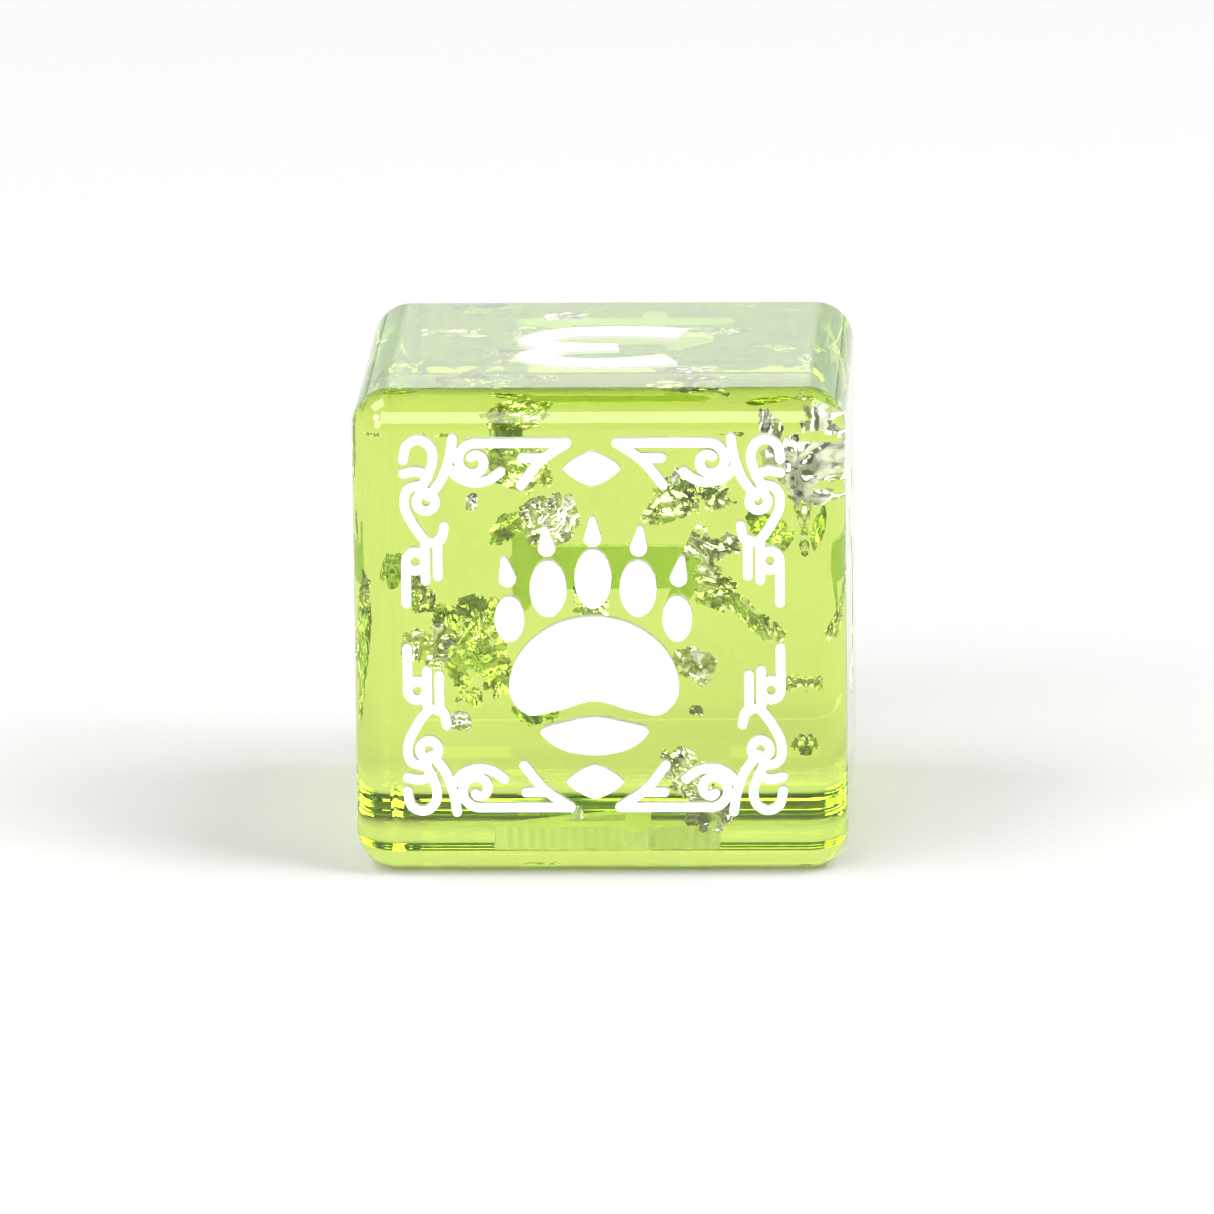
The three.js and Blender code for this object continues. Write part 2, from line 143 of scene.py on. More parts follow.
def stroke(curve, width=None, blunt=False):
    """The outline of a line drawn along a curve with round or blunt ends.

    width gives its width at 0 to 1 along it.
    """
    spine = respaced(np.array(curve, float))
    along = np.gradient(spine, axis=0)
    along /= np.linalg.norm(along, axis=1)[:, None]
    across = np.column_stack([along[:, 1], -along[:, 0]])
    t = np.linspace(0, 1, len(spine))
    half = (np.full(len(t), LINE_WIDTH) if width is None else width(t)) / 2
    near = spine + across * half[:, None]
    far = (spine - across * half[:, None])[::-1]

    def cap(start, end):
        steps = max(4, round(math.pi * np.linalg.norm(end - start) / 2 / OUTLINE_STEP))
        centre, arm = (start + end) / 2, (start - end) / 2
        turns = np.pi * np.arange(1, steps)[:, None] / steps
        out = np.array([-arm[1], arm[0]])
        bulge = 0.12 * np.sin(turns) ** 0.3 if blunt else np.sin(turns)
        return centre + arm * np.cos(turns) + out * bulge

    return np.vstack([near, cap(near[-1], far[0]), far, cap(far[-1], near[0])])


def swell(thin, thick):
    """A pen's width: thin at both ends of its stroke and thickest at the middle."""
    return lambda t: thin + (thick - thin) * np.sin(np.pi * t)


def taper(start, end):
    """A width that changes evenly along a stroke."""
    return lambda t: start + (end - start) * t


def even(width):
    """The same width all along a stroke."""
    return lambda t: np.full(len(t), width)


def oval(x, y, width, height):
    count = max(12, round(math.pi * (width + height) / 2 / OUTLINE_STEP))
    turn = 2 * np.pi * np.arange(count) / count
    return np.column_stack([x + width / 2 * np.cos(turn), y + height / 2 * np.sin(turn)])


def lozenge(x, y, width, height):
    """A diamond with round corners and slightly bulging sides."""
    fullness = 1.3
    turn = 2 * np.pi * np.arange(200) / 200
    ease = lambda value: np.sign(value) * np.abs(value) ** (2 / fullness)
    dense = np.column_stack([x + width / 2 * ease(np.cos(turn)), y + height / 2 * ease(np.sin(turn))])
    return respaced(dense, closed=True)


def mirrored_blob(half):
    """A closed outline through a right half's points, from the bottom up, and their mirror images."""
    mirrored = [(-x, y) for x, y in half[1:-1][::-1]]
    return respaced(spline(half + mirrored, closed=True), closed=True)


def volute(x, y, outer_radius, inner_radius, turns):
    """A spiral that starts above its centre and winds inwards, clockwise."""
    t = np.linspace(0, 1, 80)
    turn = np.pi / 2 - 2 * np.pi * turns * t
    radius = outer_radius + (inner_radius - outer_radius) * t
    return stroke(np.column_stack([x + radius * np.cos(turn), y + radius * np.sin(turn)]))


def grown(outline, distance):
    """An outline moved outwards by a distance, which may differ from point to point."""
    before = outline - np.roll(outline, 1, axis=0)
    after = np.roll(outline, -1, axis=0) - outline
    before /= np.linalg.norm(before, axis=1)[:, None]
    after /= np.linalg.norm(after, axis=1)[:, None]
    both = before + after
    outward = np.column_stack([both[:, 1], -both[:, 0]])
    return outline + outward * (distance / (1 + np.sum(before * after, axis=1)))[:, None]


# ---------- marks ----------
# A mark is a list of (outline, hole) pairs, where the hole may be None.
def plain(outline):
    """An outline without a hole."""
    return (outline, None)


def ribbed(outline):
    """The outline with fine tool marks along its sides."""
    pitch, depth = 0.35, 0.03
    return grown(outline, depth * np.sin(2 * np.pi * outline[:, 1] / pitch))


def ring(x, y, radius):
    outer, inner = 2 * radius + LINE_WIDTH, 2 * radius - LINE_WIDTH
    return (oval(x, y, outer, outer), oval(x, y, inner, inner))


FRAME_REACH = 6.05  # from the engraving's centre to the middle of its outermost straight lines
CORNER_SCROLL = [
    plain(stroke([(0.8, FRAME_REACH), (3.8, FRAME_REACH)])),
    plain(stroke(spline([(0.8, FRAME_REACH), (1.65, 5.45), (2.3, 4.65)]))),
    plain(stroke([(1.55, 5.55), (2.25, 5.55)])),
    plain(volute(3.8, 5.45, 0.6, 0.17, 1.1)),
    plain(stroke(spline([(2.95, 5.1), (3.35, 4.83), (3.85, 4.75), (4.35, 4.95), (4.68, 5.35)]))),
    plain(stroke(spline([(4.5, 6.2), (4.62, 5.5), (4.9, 4.8), (5.3, 4.3)]))),
    plain(stroke(spline([(6.1, 5.5), (5.98, 5.98), (5.58, 6.16), (5.22, 5.92), (5.16, 5.4), (5.5, 4.6)]))),
    plain(stroke(spline([(5.3, 4.95), (5.65, 5.12), (6.1, 5.05)]))),
    plain(stroke(spline([(5.45, 4.68), (5.98, 4.5), (6.05, 3.9), (5.7, 3.2), (5.35, 2.75)]))),
    plain(stroke(spline([(5.35, 2.75), (4.92, 2.85), (4.8, 3.3)]))),
    plain(stroke([(FRAME_REACH, 2.15), (FRAME_REACH, 0.75)])),
    plain(stroke([(5.42, 2.7), (5.42, 1.5)])),
    plain(stroke([(5.02, 2.85), (5.02, 1.65)])),
    ring(5.38, 4.12, 0.3),
    ring(5.74, 2.15, 0.31),
]


def placed(strokes, flip_x, flip_y):
    """Strokes mirrored left to right, top to bottom, or both, then moved by the engraving's offset."""

    def move(outline):
        if outline is None:
            return None
        moved = outline * (flip_x, flip_y) + MARK_OFFSET
        return moved[::-1] if flip_x * flip_y < 0 else moved

    return [(move(outline), move(hole)) for outline, hole in strokes]


# The paw print: five toes fanned about the pads, a claw above each, a broad pad and a heel pad.
PAW_CENTRE = (0, -1.9)
TOE_FAN = 3.45
TOE_ANGLES = [math.radians(a) for a in (142, 115, 90, 65, 38)]
TOE_PLACES = [
    (PAW_CENTRE[0] + TOE_FAN * math.cos(a), PAW_CENTRE[1] + TOE_FAN * math.sin(a)) for a in TOE_ANGLES
]
TOE_SIZES = [(0.95, 1.5), (1.18, 1.85), (1.18, 1.95), (1.18, 1.85), (0.95, 1.5)]
CLAW_RISE = 1.35
CLAW_LENGTH = 0.62
MAIN_PAD = [(0, -2.5), (1.15, -2.8), (2.15, -2.95), (2.72, -2.3), (2.5, -1.1), (1.5, -0.1), (0, 0.3)]
HEEL_PAD = [(0, -4.3), (1.2, -4.05), (1.75, -3.5), (0.9, -3.2), (0, -3.05)]

NUMERALS = {
    "numeral_one": (
        "back",
        (0, 0),
        [
            stroke([(0, -2.7), (0, 2.6)], even(1.4)),
            stroke([(-1.15, -2.95), (1.15, -2.95)], even(0.6)),
            stroke([(0, 2.75), (-1.5, 2)], taper(1, 0.5)),
        ],
    ),
    "numeral_two": (
        "left",
        (0, 0),
        [
            stroke(
                spline([(-2, 1.8), (-1.2, 3.1), (0.4, 3.3), (1.7, 2.2), (1, 0.2), (-1.9, -2.9)]),
                swell(0.6, 1.2),
            ),
            stroke([(-1.9, -3), (2.1, -3)], even(0.85)),
        ],
    ),
    "numeral_three": (
        "top",
        (0, 0),
        [
            stroke(
                spline([(-2.15, 2.35), (-0.6, 2.85), (1.2, 2.75), (2.25, 1.9), (1.5, 0.7), (-0.35, 0.4)]),
                taper(1.6, 1),
                blunt=True,
            ),
            stroke(
                spline([(-0.3, 0.35), (1.6, 0.1), (2.3, -0.8), (1.3, -1.95), (-0.6, -2.2), (-2.4, -1.8)]),
                taper(1, 1.6),
                blunt=True,
            ),
        ],
    ),
    "numeral_four": (
        "bottom",
        (0, 0),
        [
            ribbed(stroke([(0.8, 3.2), (-2.1, -1)], even(0.75))),
            ribbed(stroke([(-2.1, -1), (2.2, -1)], even(0.75))),
            ribbed(stroke([(0.9, 3.1), (0.9, -3.1)], even(1.2))),
        ],
    ),
    "numeral_five": (
        "right",
        (0, 0),
        [
            stroke([(-1.4, 3.1), (1.8, 3.1)], even(0.8)),
            stroke([(-1.4, 3.1), (-1.6, 0.8)], even(0.7)),
            stroke(
                spline([(-1.6, 0.8), (0.6, 0.95), (2, -0.6), (1.5, -2.5), (-0.2, -3.3), (-2, -2.6)]),
                swell(0.6, 1.25),
            ),
        ],
    ),
}


def all_marks():
    """Every mark by its CAD node's name, as (face, depth, strokes)."""
    marks = {}
    for upright, flip_y in (("upper", 1), ("lower", -1)):
        for hand, flip_x in (("left", -1), ("right", 1)):
            corner = placed(CORNER_SCROLL, flip_x, flip_y)
            marks[f"scroll_{upright}_{hand}"] = ("front", LINE_DEPTH, corner)
        diamond = placed([plain(lozenge(0, 5.2, 1.86, 1.14))], 1, flip_y)
        marks[f"lozenge_{upright}"] = ("front", LINE_DEPTH, diamond)
    pieces = {"paw_main_pad": mirrored_blob(MAIN_PAD), "paw_heel_pad": mirrored_blob(HEEL_PAD)}
    for i, ((x, y), size) in enumerate(zip(TOE_PLACES, TOE_SIZES), 1):
        pieces[f"paw_toe_{i}"] = oval(x, y, *size)
        root, tip = (x * 1.02, y + CLAW_RISE), (x * 1.06, y + CLAW_RISE + CLAW_LENGTH)
        pieces[f"paw_claw_{i}"] = stroke([root, tip], taper(0.56, 0.2))
    for name, outline in pieces.items():
        marks[name] = ("front", NUMERAL_DEPTH, placed([plain(outline)], 1, 1))
    for name, (face, offset, outlines) in NUMERALS.items():
        marks[name] = (face, NUMERAL_DEPTH, [plain(outline + offset) for outline in outlines])
    return marks


MARKS = all_marks()


# ---------- meshes ----------
def triangulated(outlines, spots=()):
    """The triangles inside a set of overlapping outlines, with the outlines that hold each triangle.

    Returns the points, the triangles and a set of outline numbers for each triangle.
    """
    points, rings = [], []
    for outline in outlines:
        rings.append(list(range(len(points), len(points) + len(outline))))
        points += [Vector(p) for p in outline]
    points += [Vector(p) for p in spots]
    made, _, triangles, _, _, holders = delaunay_2d_cdt(points, [], rings, 1, 1e-6, True)
    return np.array([tuple(p) for p in made]), np.array(triangles), [set(h) for h in holders]


def flat_outlines(strokes):
    """A mark's outlines in one list, and a test of whether a triangle's holders put it in the mark."""
    outlines, pairs = [], []
    for outline, hole in strokes:
        outlines.append(outline)
        if hole is not None:
            outlines.append(hole)
        pairs.append((len(outlines) - (1 if hole is None else 2), hole is not None))

    def inside(holders, first=0):
        return any(
            first + i in holders and not (holed and first + i + 1 in holders) for i, holed in pairs
        )

    return outlines, inside


def boundary(triangles):
    """The edges that belong to one triangle only, in that triangle's direction."""
    edges = {}
    for a, b, c in triangles:
        for edge in ((a, b), (b, c), (c, a)):
            edges[edge] = edges.get(edge, 0) + 1
    return [edge for edge in edges if (edge[1], edge[0]) not in edges]


def new_object(name, points, polygons, material, centred=True):
    """A mesh object from points in millimetres, about the die's centre unless centred is False."""
    lift = np.array([0, 0, HALF]) if centred else 0
    mesh = bpy.data.meshes.new(name)
    mesh.from_pydata(((np.asarray(points) + lift) * MM).tolist(), [], [list(map(int, p)) for p in polygons])
    mesh.materials.append(material)
    made = bpy.data.objects.new(name, mesh)
    bpy.context.scene.collection.objects.link(made)
    return made


def belongs(piece, node):
    """The piece rides on the die and stands for a CAD node, whose own mesh is hidden."""
    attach(piece, BODY)
    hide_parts(node)


# ---------- the resin casting ----------
def fall(x, y):
    """How far the surface lies below a face's plane at a place on it."""
    beyond = [np.maximum(np.abs(value) - FLAT, 0) ** 2 for value in (x, y)]
    return EDGE_RADIUS - np.sqrt(EDGE_RADIUS**2 - sum(beyond))


def edge_rows():
    """Distances beyond the flat in equal turns of the slope, up to the seam at 45 degrees."""
    return EDGE_RADIUS * np.sin(np.linspace(0, math.pi / 4, EDGE_STEPS + 1))


def seam(along):
    """How far beyond the flat the seam with the next face lies, where the edge is along beyond it."""
    return math.sqrt((EDGE_RADIUS**2 - along**2) / 2)


def face_border():
    """The seams round one face, counter-clockwise, as places on the face."""
    corner = EDGE_RADIUS / math.sqrt(3)
    rows = [row for row in edge_rows()[1:] if row < corner - 1e-6] + [corner]
    inner = list(np.linspace(-FLAT, FLAT, FLAT_STEPS + 1))
    run = [-(FLAT + row) for row in rows[::-1]] + inner + [FLAT + row for row in rows[:-1]]
    side = [(FLAT + seam(max(abs(along) - FLAT, 0.0)), along) for along in run]
    border = []
    for _ in range(4):
        border += side
        side = [(-y, x) for x, y in side]
    return np.array(border)


def face_grid():
    """Places on the rounded part of a face, from the border of its flat to its seams."""
    rows = edge_rows()[1:-1]
    ticks = np.r_[-(FLAT + rows[::-1]), np.linspace(-FLAT, FLAT, FLAT_STEPS + 1), FLAT + rows]
    spots = []
    for x in ticks:
        for y in ticks:
            near, far = sorted(max(abs(value) - FLAT, 0.0) for value in (x, y))
            if max(abs(x), abs(y)) > FLAT - 1e-6 and far < seam(near) - 0.02:
                spots.append((x, y))
    return spots


def engraved_face(face):
    """One face with its recesses and its share of the rounding, as points and polygons."""
    outlines, tests = [face_border()], []
    for where, depth, strokes in MARKS.values():
        if where == face:
            own, inside = flat_outlines(strokes)
            tests.append((depth, inside, len(outlines)))
            outlines += own
    flat, triangles, holders = triangulated(outlines, face_grid())
    level = np.zeros(len(triangles), int)
    for number, (_, inside, first) in enumerate(tests, 1):
        for i, held in enumerate(holders):
            if inside(held, first):
                level[i] = number
    points = [on_face(face, flat[:, 0], flat[:, 1], -fall(flat[:, 0], flat[:, 1]))]
    for depth, _, _ in tests:
        points.append(on_face(face, flat[:, 0], flat[:, 1], np.full(len(flat), -depth)))
    count = len(flat)
    polygons = (triangles + (level * count)[:, None]).tolist()
    for number in range(1, len(tests) + 1):
        for a, b in boundary(triangles[level == number]):
            polygons.append([a, b, b + number * count, a + number * count])
    return np.vstack(points), polygons


def outer_normal(spot):
    """The outward direction at a point of the rounded cube, or None where the point is inside it."""
    lean = spot - np.clip(spot, -FLAT, FLAT)
    length = np.linalg.norm(lean)
    return lean / length if abs(length - EDGE_RADIUS) < 1e-4 else None


def resin_casting(material):
    """The casting: rounded cube with an engraved recess for every mark, and exact outer normals."""
    points, polygons = [], []
    for face in FACES:
        part_points, part_polygons = engraved_face(face)
        first = sum(map(len, points))
        points.append(part_points)
        polygons += [[first + i for i in polygon] for polygon in part_polygons]
    points = np.vstack(points)
    _, keep, merged = np.unique(np.round(points, 4), axis=0, return_index=True, return_inverse=True)
    merged = merged.reshape(-1)
    polygons = [[merged[i] for i in polygon] for polygon in polygons]
    used = sorted({i for polygon in polygons for i in polygon})
    number = {old: new for new, old in enumerate(used)}
    points = points[keep][used]
    polygons = [[number[i] for i in polygon] for polygon in polygons]
    casting = new_object("resin_casting", points, polygons, material)
    mesh = casting.data
    mesh.update()
    outward = [outer_normal(spot) for spot in points]
    normals = []
    for polygon in mesh.polygons:
        polygon.use_smooth = True
        wanted = [outward[i] for i in polygon.vertices]
        flat = any(normal is None for normal in wanted)
        normals += [polygon.normal] * len(wanted) if flat else wanted
    mesh.normals_split_custom_set([tuple(normal) for normal in normals])
    belongs(casting, "resin_body")
    return casting


# ---------- paint ----------
def paint_fill(name, face, depth, strokes, material, grain):
    """A paint fill: flat floor, upright walls, and a surface that climbs a little at the walls."""
    outlines, inside = flat_outlines([
        (grown(outline, WETTING), None if hole is None else grown(hole, -WETTING))
        for outline, hole in strokes
    ])
    everything = np.vstack(outlines)
    low, high = everything.min(axis=0), everything.max(axis=0)
    xs, ys = (np.arange(low[k] + grain / 2, high[k], grain) for k in (0, 1))
    spots = [(x + (grain / 2 if j % 2 else 0), y) for j, y in enumerate(ys) for x in xs]
    flat, triangles, holders = triangulated(outlines, spots)
    triangles = triangles[[inside(held) for held in holders]]
    rim = boundary(triangles)
    starts = flat[[a for a, _ in rim]]
    runs = flat[[b for _, b in rim]] - starts
    squares = np.maximum(np.sum(runs**2, axis=1), 1e-12)
    used = np.unique(triangles)
    distance = np.zeros(len(flat))
    for i in used:
        along = np.clip(np.sum((flat[i] - starts) * runs, axis=1) / squares, 0, 1)
        distance[i] = np.linalg.norm(starts + runs * along[:, None] - flat[i], axis=1).min()
    at_wall, sag, settle = 0.025, 0.05, 0.1
    uneven = np.array([noise.noise(Vector((x * 1.7, y * 1.7, depth))) for x, y in flat])
    surface = -at_wall - sag * (1 - np.exp(-distance / settle)) * (1 + 0.35 * uneven)
    surface -= fall(flat[:, 0], flat[:, 1])
    number = {old: new for new, old in enumerate(used)}
    count = len(used)
    top = on_face(face, flat[used, 0], flat[used, 1], surface[used])
    floor = on_face(face, flat[used, 0], flat[used, 1], np.full(count, -depth - WETTING))
    polygons = [[number[i] for i in triangle] for triangle in triangles]
    polygons += [[number[i] + count for i in triangle[::-1]] for triangle in triangles]
    polygons += [
        [number[b], number[a], number[a] + count, number[b] + count] for a, b in rim
    ]
    fill = new_object(f"{name}_paint", np.vstack([top, floor]), polygons, material)
    fill.data.shade_smooth()
    fill.data.set_sharp_from_angle(angle=math.radians(35))
    belongs(fill, name)
    return fill


# ---------- foil ----------
def flake_frame(node):
    """A CAD flake's centre, in-plane axes and size, in millimetres about the die's centre."""
    mesh = frame["nodes"][node].data
    spots = np.array([tuple(v.co) for v in mesh.vertices]) / MM - (0, 0, HALF)
    centre = (spots.min(axis=0) + spots.max(axis=0)) / 2
    _, _, axes = np.linalg.svd(spots - spots.mean(axis=0), full_matrices=False)
    spans = [(spots - centre) @ axis for axis in axes]
    centre = centre + sum(axis * (span.max() + span.min()) / 2 for axis, span in zip(axes, spans))
    return centre, axes, [span.max() - span.min() for span in spans]


def foil_flake(node, number, material):
    """A torn, crumpled sheet of foil in the space of its CAD flake."""
    centre, axes, spans = flake_frame(node)
    cell = 0.04
    thickness = 0.008
    fullness = 2.6  # of the untorn sheet's outline: 2 is an ellipse
    columns, rows = (max(6, round(span / cell)) for span in spans[:2])
    seed = Vector((number * 7.3, number * 3.1, 0.5))

    def torn(u, v):
        """Above zero where the sheet is there, for u and v from -1 to 1."""
        ragged = noise.fractal(Vector((u * spans[0], v * spans[1], 0)) * 1.1 + seed, 0.8, 2.2, 5)
        reach = (abs(u) ** fullness + abs(v) ** fullness) ** (1 / fullness)
        return 1.1 - reach - 0.25 * reach**6 + 1.25 * ragged

    def height(x, y):
        """Folds that meet in sharp creases, over a gentle wave."""
        place = Vector((x, y * 1.5, 2.0))
        wave = noise.noise(place * 0.7 + seed) * 0.25
        fold = abs(noise.noise(place * 1.8 + seed * 1.7)) * 0.2
        crease = abs(noise.noise(place * 5.2 - seed)) * 0.025
        return wave + fold + crease

    grid = {}
    points, polygons = [], []

    def corner(i, j):
        if (i, j) not in grid:
            shake = noise.noise_vector(Vector((i * 0.9, j * 0.9, 1.0)) + seed) * 0.35
            u = (2 * (i + shake.x) / columns - 1) * spans[0] / 2
            v = (2 * (j + shake.y) / rows - 1) * spans[1] / 2
            grid[(i, j)] = len(points)
            points.append(centre + axes[0] * u + axes[1] * v + axes[2] * height(u, v))
        return grid[(i, j)]

    cells = {
        (i, j)
        for i in range(columns)
        for j in range(rows)
        if torn(2 * (i + 0.5) / columns - 1, 2 * (j + 0.5) / rows - 1) > 0
    }
    kept = largest_patch(cells)
    for i, j in sorted(kept):
        polygons.append([corner(i, j), corner(i + 1, j), corner(i + 1, j + 1), corner(i, j + 1)])
    flake = new_object(f"{node}_foil", points, polygons, material)
    thicken = flake.modifiers.new("thickness", "SOLIDIFY")
    thicken.thickness = thickness * MM
    thicken.offset = 0
    apply_modifiers(flake)
    flake.data.shade_smooth()
    flake.data.set_sharp_from_angle(angle=math.radians(25))
    belongs(flake, node)
    return flake


def largest_patch(cells):
    """The largest set of cells that touch each other by their sides."""
    left, best = set(cells), set()
    while left:
        start = min(left)
        patch, fringe = {start}, [start]
        left.discard(start)
        while fringe:
            i, j = fringe.pop()
            for near in ((i + 1, j), (i - 1, j), (i, j + 1), (i, j - 1)):
                if near in left:
                    left.discard(near)
                    patch.add(near)
                    fringe.append(near)
        best = max(best, patch, key=len)
    return best


def apply_modifiers(made):
    """Turns what the modifiers make into the object's own mesh."""
    shaped = made.evaluated_get(bpy.context.evaluated_depsgraph_get())
    mesh = bpy.data.meshes.new_from_object(shaped)
    made.modifiers.clear()
    made.data = mesh


# ---------- materials ----------
def material_with(name, **values):
    """A new Principled material with the given constants, and its nodes, links and shader."""
    material = bpy.data.materials.new(name)
    material.use_nodes = True
    nodes, links = material.node_tree.nodes, material.node_tree.links
    shader = nodes["Principled BSDF"]
    for socket, value in values.items():
        shader.inputs[socket.replace("_", " ")].default_value = value
    return material, nodes, links, shader


def texture(nodes, links, kind, scale, **values):
    """A procedural texture in object space. scale is in features per metre."""
    place = nodes.new("ShaderNodeTexCoord")
    made = nodes.new(f"ShaderNodeTex{kind}")
    links.new(place.outputs["Object"], made.inputs["Vector"])
    made.inputs["Scale"].default_value = scale
    for socket, value in values.items():
        made.inputs[socket].default_value = value
    return made


def remapped(nodes, links, source, low, high, start=0.0, end=1.0):
    """A value's start to end stretched to low to high."""
    made = nodes.new("ShaderNodeMapRange")
    links.new(source, made.inputs["Value"])
    made.inputs["From Min"].default_value = start
    made.inputs["From Max"].default_value = end
    made.inputs["To Min"].default_value = low
    made.inputs["To Max"].default_value = high
    return made.outputs["Result"]


def bumped(nodes, links, shader, source, distance, strength):
    bump = nodes.new("ShaderNodeBump")
    bump.inputs["Distance"].default_value = distance
    bump.inputs["Strength"].default_value = strength
    links.new(source, bump.inputs["Height"])
    links.new(bump.outputs["Normal"], shader.inputs["Normal"])


def clear_resin():
    """Clear lime resin whose upward-facing surfaces carry a painted sheen: a whitish diffuse layer that
    lightens the face with the three.
    """
    material, nodes, links, shader = material_with(
        "clear_lime_resin",
        Base_Color=(1.0, 1.0, 1.0, 1.0),
        IOR=1.5,
        Transmission_Weight=1.0,
    )
    haze = texture(nodes, links, "Noise", 900.0, Detail=3.0)
    links.new(remapped(nodes, links, haze.outputs["Fac"], 0.0, 0.03), shader.inputs["Roughness"])
    # Painted sheen: surfaces that face up let a little less light through and show a whitish diffuse layer
    # instead, lightening the top face.
    place = nodes.new("ShaderNodeTexCoord")
    parts = nodes.new("ShaderNodeSeparateXYZ")
    links.new(place.outputs["Normal"], parts.inputs["Vector"])
    painted_top_sheen = remapped(nodes, links, parts.outputs["Z"], 1.0, 0.88, start=0.985)
    links.new(painted_top_sheen, shader.inputs["Transmission Weight"])
    absorb = nodes.new("ShaderNodeVolumeAbsorption")
    absorb.inputs["Color"].default_value = (0.77, 0.9, 0.02, 1.0)
    absorb.inputs["Density"].default_value = 116.0
    links.new(absorb.outputs["Volume"], nodes["Material Output"].inputs["Volume"])
    return material


def white_paint():
    material, nodes, links, shader = material_with("white_paint", Roughness=0.5)
    mottle = texture(nodes, links, "Noise", 1500.0, Detail=4.0)
    colour = nodes.new("ShaderNodeMix")
    colour.data_type = "RGBA"
    colour.inputs["A"].default_value = (0.90, 0.91, 0.92, 1.0)
    colour.inputs["B"].default_value = (0.97, 0.97, 0.965, 1.0)
    links.new(mottle.outputs["Fac"], colour.inputs["Factor"])
    links.new(colour.outputs["Result"], shader.inputs["Base Color"])
    links.new(remapped(nodes, links, mottle.outputs["Fac"], 0.38, 0.6), shader.inputs["Roughness"])
    grain = texture(nodes, links, "Noise", 9000.0, Detail=2.0)
    bumped(nodes, links, shader, grain.outputs["Fac"], 0.00001, 0.3)
    return material


def silver_foil():
    material, nodes, links, shader = material_with("silver_foil", Metallic=1.0)
    # Painted shade: a noise mixes dark patches into the foil's colour, where they stand in for foil seen in
    # shade; the same noise also varies its roughness.
    shade_and_roughness_noise = texture(nodes, links, "Noise", 1200.0, Detail=5.0)
    colour = nodes.new("ShaderNodeMix")
    colour.data_type = "RGBA"
    colour.inputs["A"].default_value = (0.36, 0.38, 0.34, 1.0)
    colour.inputs["B"].default_value = (0.96, 0.96, 0.94, 1.0)
    painted_shade_patches = remapped(nodes, links, shade_and_roughness_noise.outputs["Fac"], 0.0, 1.0, start=0.4, end=0.56)
    links.new(painted_shade_patches, colour.inputs["Factor"])
    links.new(colour.outputs["Result"], shader.inputs["Base Color"])
    links.new(remapped(nodes, links, shade_and_roughness_noise.outputs["Fac"], 0.1, 0.28), shader.inputs["Roughness"])
    wrinkle = texture(nodes, links, "Noise", 5000.0, Detail=2.0)
    bumped(nodes, links, shader, wrinkle.outputs["Fac"], 0.00002, 0.4)
    return material


def floor_paper():
    material, nodes, links, shader = material_with("white_floor", Roughness=0.7)
    shader.inputs["Base Color"].default_value = (0.505, 0.5, 0.5, 1.0)
    shader.inputs["Specular IOR Level"].default_value = 0.1
    return material


# ---------- stage, light and camera ----------
CAMERA_TURN = (2.28, 12.8, -0.64)  # azimuth, elevation and roll in degrees
CAMERA_DISTANCE = 0.45
CAMERA_AIM = (-0.04, -0.83)  # where the picture's middle lies from the die's centre, in millimetres
LENS = 405.0

LIGHT_DISTANCE = 1.2
WORLD_FRONT = 0.15  # the studio's brightness on the viewer's side
WORLD_BACK = 1.05  # and behind the die, near the horizon
WORLD_TOP = 0.25  # how much of that is left overhead


def stage():
    gap = 0.02 * MM  # a hair of air under the die
    reach = 3.0
    mesh = bpy.data.meshes.new("floor")
    corners = [(-reach, -reach, -gap), (reach, -reach, -gap), (reach, reach, -gap), (-reach, reach, -gap)]
    mesh.from_pydata(corners, [], [(0, 1, 2, 3)])
    mesh.materials.append(floor_paper())
    floor = bpy.data.objects.new("floor", mesh)
    bpy.context.scene.collection.objects.link(floor)


def soft_light(name, azimuth, elevation, size, radiance):
    """A square softbox that faces the die. Azimuth 0 is in front of it and 90 to its right."""
    turn, rise = math.radians(azimuth), math.radians(elevation)
    way = Vector((math.sin(turn) * math.cos(rise), -math.cos(turn) * math.cos(rise), math.sin(rise)))
    data = bpy.data.lights.new(name, "AREA")
    data.size = size
    data.energy = radiance * math.pi * size**2
    lamp = bpy.data.objects.new(name, data)
    lamp.location = Vector((0, 0, HALF * MM)) + way * LIGHT_DISTANCE
    lamp.rotation_euler = way.to_track_quat("Z", "Y").to_euler()
    bpy.context.scene.collection.objects.link(lamp)


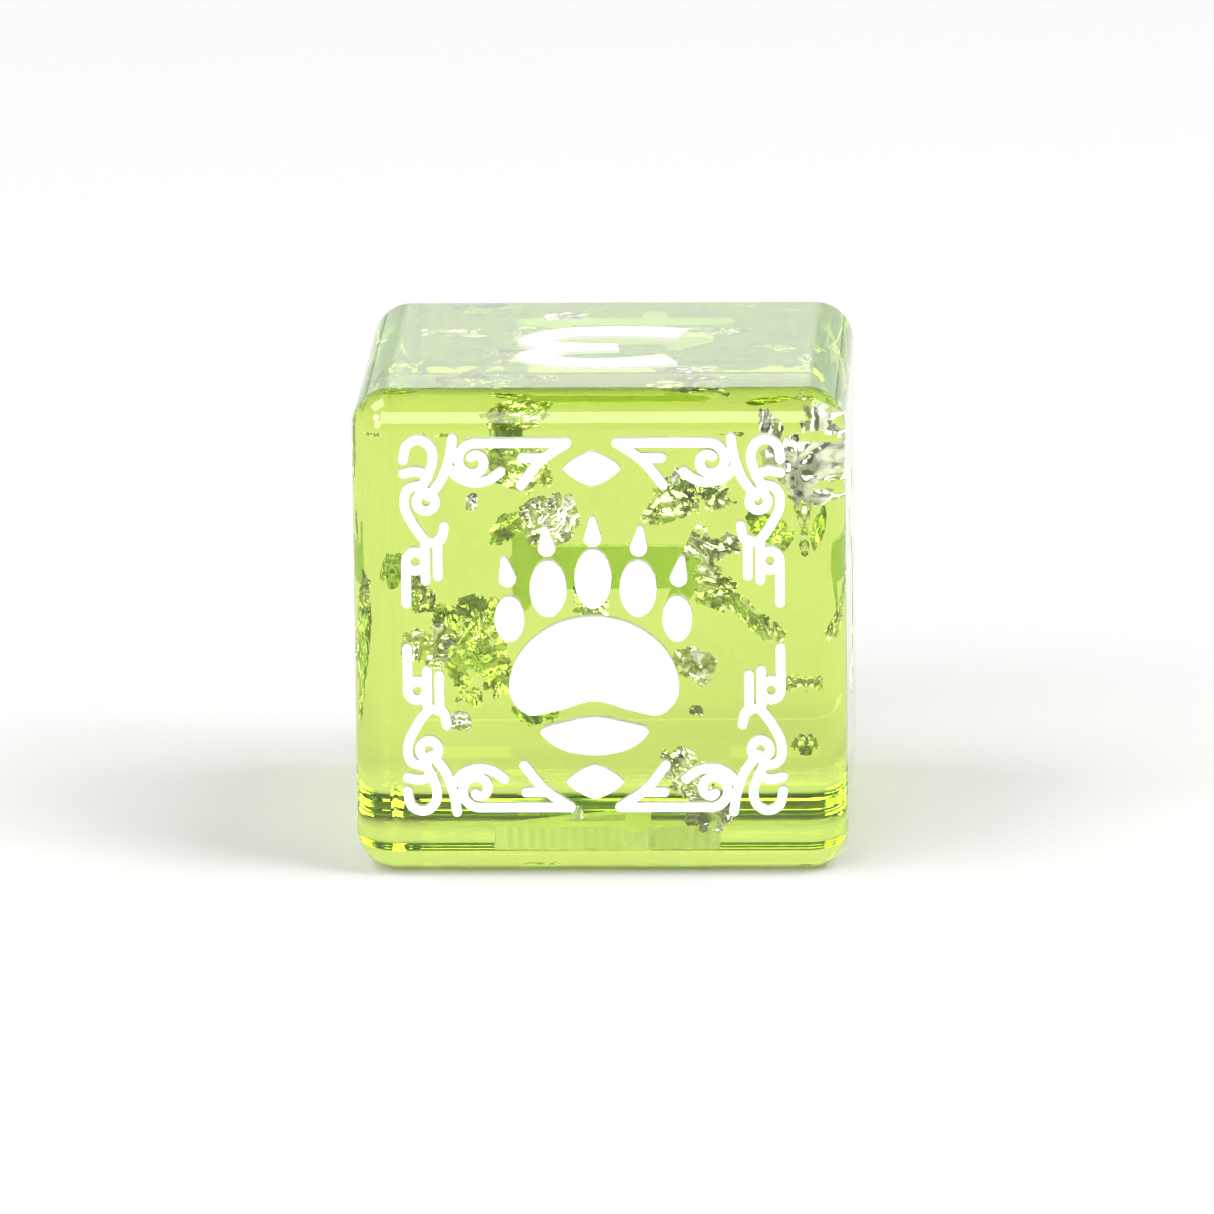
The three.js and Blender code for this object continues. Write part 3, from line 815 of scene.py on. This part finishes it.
def studio_world():
    """A white studio, bright behind the die and dim overhead and on the viewer's side."""
    world = bpy.data.worlds.new("studio")
    world.use_nodes = True
    nodes, links = world.node_tree.nodes, world.node_tree.links
    place = nodes.new("ShaderNodeTexCoord")
    parts = nodes.new("ShaderNodeSeparateXYZ")
    links.new(place.outputs["Generated"], parts.inputs["Vector"])
    level = remapped(nodes, links, parts.outputs["Y"], WORLD_FRONT, WORLD_BACK, start=-0.7, end=0.1)
    dome = remapped(nodes, links, parts.outputs["Z"], 1.0, WORLD_TOP, start=0.3, end=0.75)
    strength = nodes.new("ShaderNodeMath")
    strength.operation = "MULTIPLY"
    for number, source in enumerate((level, dome)):
        source.node.interpolation_type = "SMOOTHSTEP"
        links.new(source, strength.inputs[number])
    links.new(strength.outputs["Value"], nodes["Background"].inputs["Strength"])
    nodes["Background"].inputs["Color"].default_value = (1.0, 1.0, 1.0, 1.0)
    bpy.context.scene.world = world


def lights():
    """Softboxes to both sides and in front, none straight above the die."""
    studio_world()
    soft_light("high_right_softbox", 80, 58, 0.62, 9.0)
    soft_light("high_left_softbox", -82, 58, 0.62, 6.0)
    soft_light("right_softbox", 62, 38, 0.5, 9.0)
    soft_light("left_softbox", -50, 31, 0.34, 11.0)
    soft_light("front_softbox", -15, 36, 0.72, 5.5)
    soft_light("low_front_softbox", -38, 14, 0.42, 8.0)


def camera():
    """A long lens in front of the die, a little to its right and above it."""
    azimuth, elevation, roll = (math.radians(a) for a in CAMERA_TURN)
    back = Vector((
        math.sin(azimuth) * math.cos(elevation),
        -math.cos(azimuth) * math.cos(elevation),
        math.sin(elevation),
    ))
    level = back.to_track_quat("Z", "Y").to_matrix()
    turn = level @ Matrix.Rotation(roll, 3, "Z")
    aim = Vector((0, 0, HALF * MM)) + turn @ Vector((*CAMERA_AIM, 0)) * MM
    data = bpy.data.cameras.new("camera")
    data.lens = LENS
    data.sensor_width = 36.0
    data.clip_start, data.clip_end = 0.01, 20.0
    made = bpy.data.objects.new("camera", data)
    made.matrix_world = Matrix.Translation(aim + back * CAMERA_DISTANCE) @ turn.to_4x4()
    bpy.context.scene.collection.objects.link(made)
    bpy.context.scene.camera = made


def tone():
    scene = bpy.context.scene
    scene.view_settings.view_transform = "Standard"
    scene.view_settings.look = "None"
    scene.cycles.max_bounces = 24
    scene.cycles.transmission_bounces = 20
    scene.cycles.glossy_bounces = 12
    scene.cycles.diffuse_bounces = 6


# ---------- the whole ----------
stage()
lights()
camera()
tone()

resin_casting(clear_resin())
paint = white_paint()
for name, (face, depth, strokes) in MARKS.items():
    paint_fill(name, face, depth, strokes, paint, 0.12)
foil = silver_foil()
flakes = [row["node"] for row in frame["record"]["subparts"] if row["material_slot"] == "silver_foil"]
for number, node in enumerate(flakes, 1):
    foil_flake(node, number, foil)
